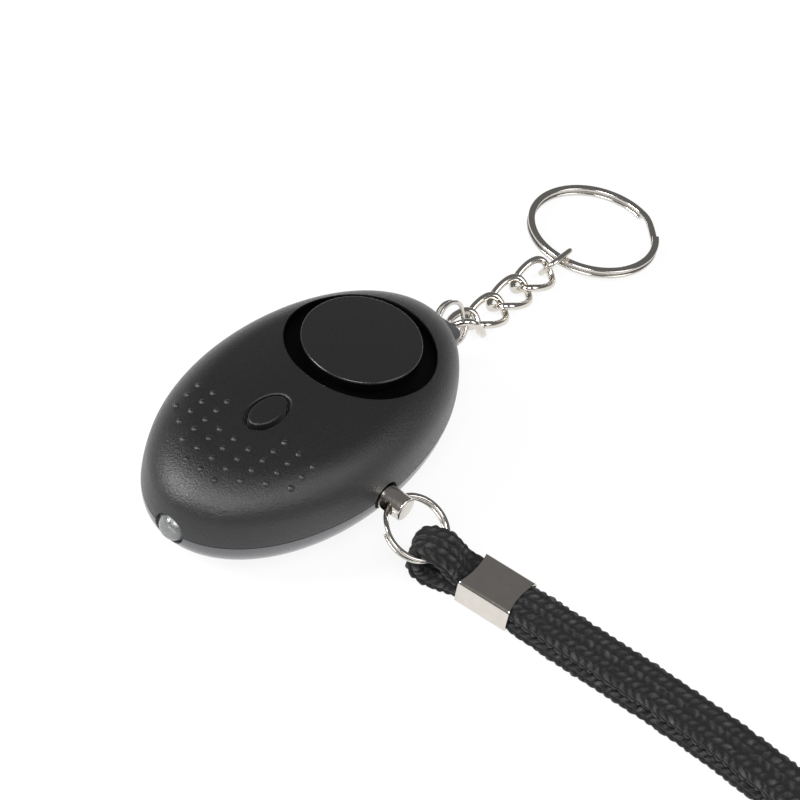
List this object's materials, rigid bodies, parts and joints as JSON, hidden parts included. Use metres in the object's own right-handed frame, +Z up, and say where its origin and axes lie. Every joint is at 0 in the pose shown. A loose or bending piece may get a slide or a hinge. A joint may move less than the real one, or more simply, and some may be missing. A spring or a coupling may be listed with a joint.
{
  "type": "personal safety alarm",
  "caption": "Pebble-shaped personal safety alarm with a siren, a torch lamp and its button, a pull pin on a braided wrist strap, and a key ring on a curb chain.",
  "frame": {"origin": "middle of the flat spot under the case, on the table", "axes": "+Z up; +Y from the lamp to the key ring; +X the way the pull pin comes out"},
  "size_m": [0.1835, 0.1224, 0.0207],
  "materials": {
    "case_plastic": "fine-grained moulded ABS",
    "cap_plastic": "smooth satin ABS",
    "inner_plastic": "plain moulded",
    "white_nylon": "turned nylon",
    "nickel": "bright nickel plate",
    "plated_steel": "zinc-plated steel",
    "brass": "rolled brass sheet",
    "copper": "enamelled copper wire",
    "ceramic": "silvered ceramic",
    "ferrite": "sintered ferrite",
    "board_green": "lacquered glass-fibre board",
    "chip_black": "moulded epoxy",
    "clear_epoxy": "water-clear cast epoxy",
    "gasket_foam": "closed-cell foam",
    "strap_braid": "plaited nylon braid",
    "cell_steel": "nickel-plated can"
  },
  "bodies": {
    "case": {"top_shell": "case_plastic", "bottom_shell": "case_plastic", "siren_cap": "cap_plastic", "sounder_gasket": "gasket_foam", "piezo_plate": "brass", "piezo_ceramic": "ceramic", "piezo_wires": "copper", "circuit_board": "board_green", "control_chip": "chip_black", "boost_coil_core": "ferrite", "boost_coil_winding": "copper", "transistor": "chip_black", "chip_parts": "chip_black", "light_switch_body": "inner_plastic", "led_lens": "clear_epoxy", "led_frame": "plated_steel", "battery_tray": "inner_plastic", "button_cells": "cell_steel", "lower_contacts": "plated_steel", "upper_contacts": "plated_steel", "pin_socket": "inner_plastic", "fixed_contact": "brass", "case_screws": "plated_steel", "board_screws": "plated_steel"},
    "button": {"light_button": "cap_plastic", "switch_plunger": "inner_plastic"},
    "pin": {"pull_pin": "nickel", "pin_tip": "white_nylon"},
    "leaf": {"contact_leaf": "brass"},
    "ring_on_pin": {"pin_ring": "nickel"},
    "strap": {"strap_loop": "strap_braid", "strap_crimp": "nickel", "wrist_strap": "strap_braid"},
    "ring_in_lug": {"anchor_ring": "nickel"},
    "link_1": {"chain_link_1": "nickel"},
    "link_2": {"chain_link_2": "nickel"},
    "link_3": {"chain_link_3": "nickel"},
    "link_4": {"chain_link_4": "nickel"},
    "connector": {"connector_link": "nickel"},
    "keys": {"key_ring": "nickel"}
  },
  "joints": [
    {"name": "button_press", "type": "slide", "parent": "case", "child": "button", "axis": [0, 0, -1], "range_m": [0, 0.0004], "stiffness_N_per_m": 600},
    {"name": "pin_pull", "type": "slide", "parent": "case", "child": "pin", "axis": [1, 0, 0], "range_m": [0, 0.016]},
    {"name": "leaf_swing", "type": "hinge", "parent": "case", "child": "leaf", "pos_m": [0.00583, -0.00996, 0.0098], "axis": [0, 0, -1], "range_deg": [0, 6]},
    {"name": "pin_ring_swing", "type": "hinge", "parent": "pin", "child": "ring_on_pin", "pos_m": [0.01955, -0.00086, 0.0098], "axis": [0, 1, 0], "range_deg": [-35, 35]},
    {"name": "strap_swing", "type": "hinge", "parent": "ring_on_pin", "child": "strap", "pos_m": [0.029, -0.00086, 0.00545], "axis": [0, 1, 0], "range_deg": [-5, 35]},
    {"name": "lug_ring_swing", "type": "hinge", "parent": "case", "child": "ring_in_lug", "pos_m": [0, 0.0348, 0.007], "axis": [0, 0, 1], "range_deg": [-20, 20]},
    {"name": "link_1_swing", "type": "hinge", "parent": "ring_in_lug", "child": "link_1", "pos_m": [0.0006, 0.04045, 0.00592], "axis": [1, 0, 0], "range_deg": [-4, 30]},
    {"name": "link_2_swing", "type": "hinge", "parent": "link_1", "child": "link_2", "pos_m": [0, 0.04593, 0.0018], "axis": [0, 0, 1], "range_deg": [-15, 15]},
    {"name": "link_3_swing", "type": "hinge", "parent": "link_2", "child": "link_3", "pos_m": [0, 0.05241, 0.0018], "axis": [1, 0, 0], "range_deg": [-30, 30]},
    {"name": "link_4_swing", "type": "hinge", "parent": "link_3", "child": "link_4", "pos_m": [0, 0.05889, 0.0018], "axis": [0, 0, 1], "range_deg": [-30, 30]},
    {"name": "connector_swing", "type": "hinge", "parent": "link_4", "child": "connector", "pos_m": [0, 0.0654, 0.0018], "axis": [1, 0, 0], "range_deg": [-30, 4]},
    {"name": "key_ring_swing", "type": "hinge", "parent": "connector", "child": "keys", "pos_m": [-0.0004, 0.06887, 0.00217], "axis": [1, 0, 0], "range_deg": [-35, 35]}
  ],
  "couplings": [
    {"joint": "leaf_swing", "follows": "pin_pull", "rad_per_m": 6.545}
  ]
}
